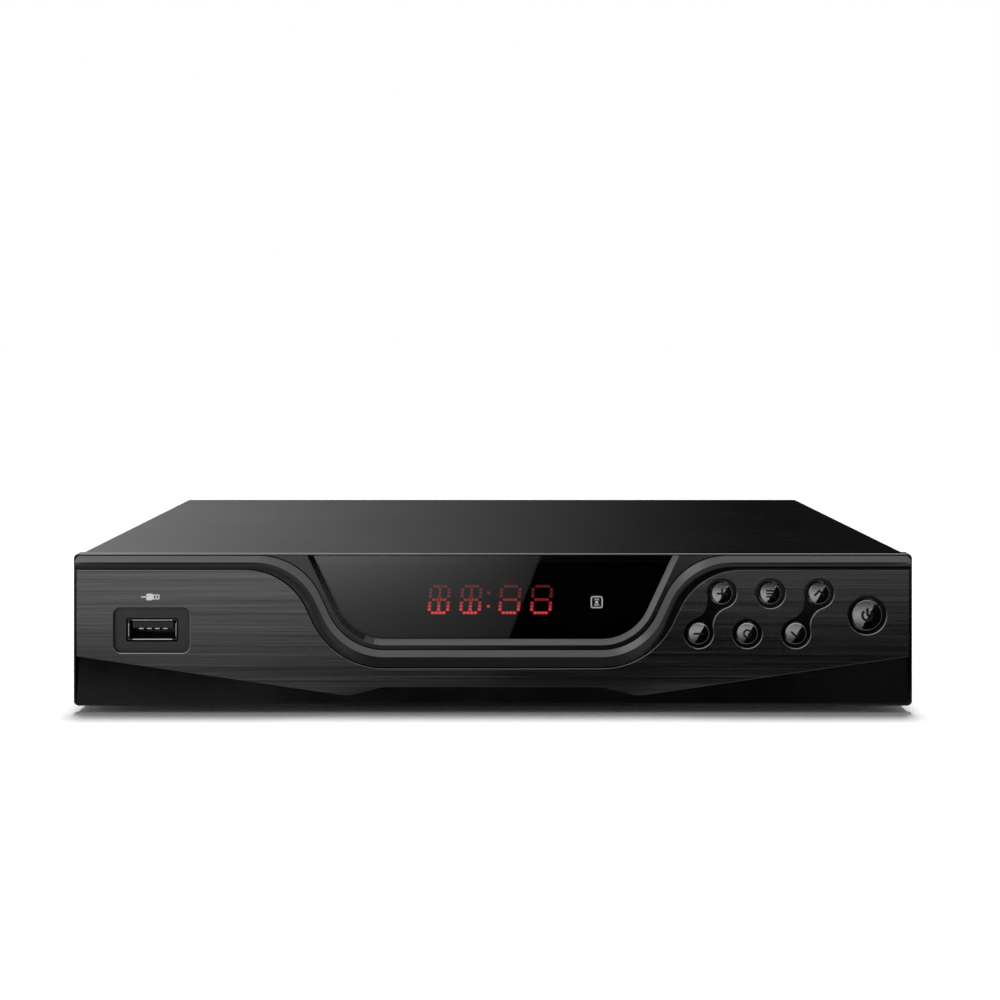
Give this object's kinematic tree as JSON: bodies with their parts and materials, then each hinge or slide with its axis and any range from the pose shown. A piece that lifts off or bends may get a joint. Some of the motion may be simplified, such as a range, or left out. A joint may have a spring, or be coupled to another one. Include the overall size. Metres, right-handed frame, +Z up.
{
  "type": "satellite television receiver",
  "caption": "Low black set-top satellite receiver: steel case, moulded front panel with brushed plate, swept trim, display window, USB socket and round keys, rear sockets and rocker switch.",
  "frame": {"origin": "under the middle of the receiver's bounding box, on the surface that its feet stand on", "axes": "+X to the right seen from the front, the front panel faces -Y, +Z up"},
  "size_m": [0.22, 0.1616, 0.042],
  "materials": {
    "bare_aluminium": "extruded",
    "black_anodised": "black anodised",
    "black_moulding": "fine texture",
    "black_screw": "black zinc",
    "black_steel": "fine satin black coating",
    "brass_post": "turned",
    "brown_board": "paper laminate",
    "brushed_black": "black, brushed level",
    "can_sleeve": "shrunk sleeve",
    "chip_resin": "moulded resin",
    "copper_wire": "enamelled copper",
    "cream_plastic": "nylon",
    "ferrite": "fired ferrite",
    "gloss_black": "high gloss moulding",
    "gold_contact": "gold flash",
    "green_board": "solder mask on glass fibre",
    "grey_insulation": "flat cable",
    "key_plastic": "polished dark grey",
    "lead_insulation": "wire insulation",
    "nickel_plate": "nickel plate",
    "orange_plastic": "moulded",
    "red_plastic": "moulded",
    "red_segment": "lit red segment",
    "rocker_plastic": "moulded",
    "rubber_black": "matt",
    "satin_trim": "satin dark grey lacquer",
    "smoked_window": "smoked acrylic, polished",
    "socket_steel": "tinned steel",
    "white_plastic": "moulded",
    "yellow_plastic": "moulded",
    "yellow_tape": "polyester tape",
    "zinc_steel": "zinc-coated sheet, satin"
  },
  "bodies": {
    "root": {"chassis_tray": "zinc_steel", "top_cover": "black_steel", "rubber_feet": "rubber_black", "cover_screws": "black_screw", "fascia_body": "gloss_black", "brushed_plate": "brushed_black", "window_bezel": "brushed_black", "trim_band": "satin_trim", "display_window": "smoked_window", "usb_shell": "socket_steel", "usb_tongue": "black_moulding", "usb_contacts": "gold_contact", "front_board": "green_board", "front_board_screws": "nickel_plate", "led_display": "black_moulding", "led_segments": "red_segment", "ir_receiver": "black_moulding", "tact_switches": "black_moulding", "ribbon_cable": "grey_insulation", "board_connectors": "cream_plastic", "main_board": "green_board", "standoffs": "brass_post", "board_screws": "nickel_plate", "processor": "chip_resin", "heat_sink": "black_anodised", "memory_chips": "chip_resin", "board_capacitors": "can_sleeve", "tuner_can": "socket_steel", "lnb_input_socket": "nickel_plate", "loop_output_socket": "nickel_plate", "socket_insulators": "white_plastic", "socket_nuts": "nickel_plate", "hdmi_shell": "socket_steel", "hdmi_tongue": "black_moulding", "phono_block": "black_moulding", "phono_sleeves": "nickel_plate", "video_ring": "yellow_plastic", "left_audio_ring": "white_plastic", "right_audio_ring": "red_plastic", "digital_audio_ring": "orange_plastic", "ethernet_socket": "socket_steel", "ethernet_contacts": "gold_contact", "power_board": "brown_board", "transformer_core": "ferrite", "transformer_winding": "yellow_tape", "mains_capacitor": "can_sleeve", "noise_choke": "copper_wire", "power_heat_sink": "bare_aluminium", "mains_inlet": "black_moulding", "inlet_pins": "nickel_plate", "switch_body": "black_moulding", "power_lead": "lead_insulation"},
    "plus_key": {"plus_key": "key_plastic"},
    "minus_key": {"minus_key": "key_plastic"},
    "menu_key": {"menu_key": "key_plastic"},
    "ok_key": {"ok_key": "key_plastic"},
    "up_key": {"up_key": "key_plastic"},
    "down_key": {"down_key": "key_plastic"},
    "power_key": {"power_key": "key_plastic"},
    "rocker": {"rocker_paddle": "rocker_plastic"}
  },
  "joints": [
    {"name": "plus_press", "type": "slide", "parent": "root", "child": "plus_key", "axis": [0, 1, 0], "range_m": [0, 0.0004], "stiffness_N_per_m": 800},
    {"name": "minus_press", "type": "slide", "parent": "root", "child": "minus_key", "axis": [0, 1, 0], "range_m": [0, 0.0004], "stiffness_N_per_m": 800},
    {"name": "menu_press", "type": "slide", "parent": "root", "child": "menu_key", "axis": [0, 1, 0], "range_m": [0, 0.0004], "stiffness_N_per_m": 800},
    {"name": "ok_press", "type": "slide", "parent": "root", "child": "ok_key", "axis": [0, 1, 0], "range_m": [0, 0.0004], "stiffness_N_per_m": 800},
    {"name": "up_press", "type": "slide", "parent": "root", "child": "up_key", "axis": [0, 1, 0], "range_m": [0, 0.0004], "stiffness_N_per_m": 800},
    {"name": "down_press", "type": "slide", "parent": "root", "child": "down_key", "axis": [0, 1, 0], "range_m": [0, 0.0004], "stiffness_N_per_m": 800},
    {"name": "power_press", "type": "slide", "parent": "root", "child": "power_key", "axis": [0, 1, 0], "range_m": [0, 0.0004], "stiffness_N_per_m": 800},
    {"name": "rocker_tilt", "type": "hinge", "parent": "root", "child": "rocker", "pos_m": [-0.062, 0.06945, 0.022], "axis": [-1, 0, 0], "range_deg": [0, 20]}
  ]
}
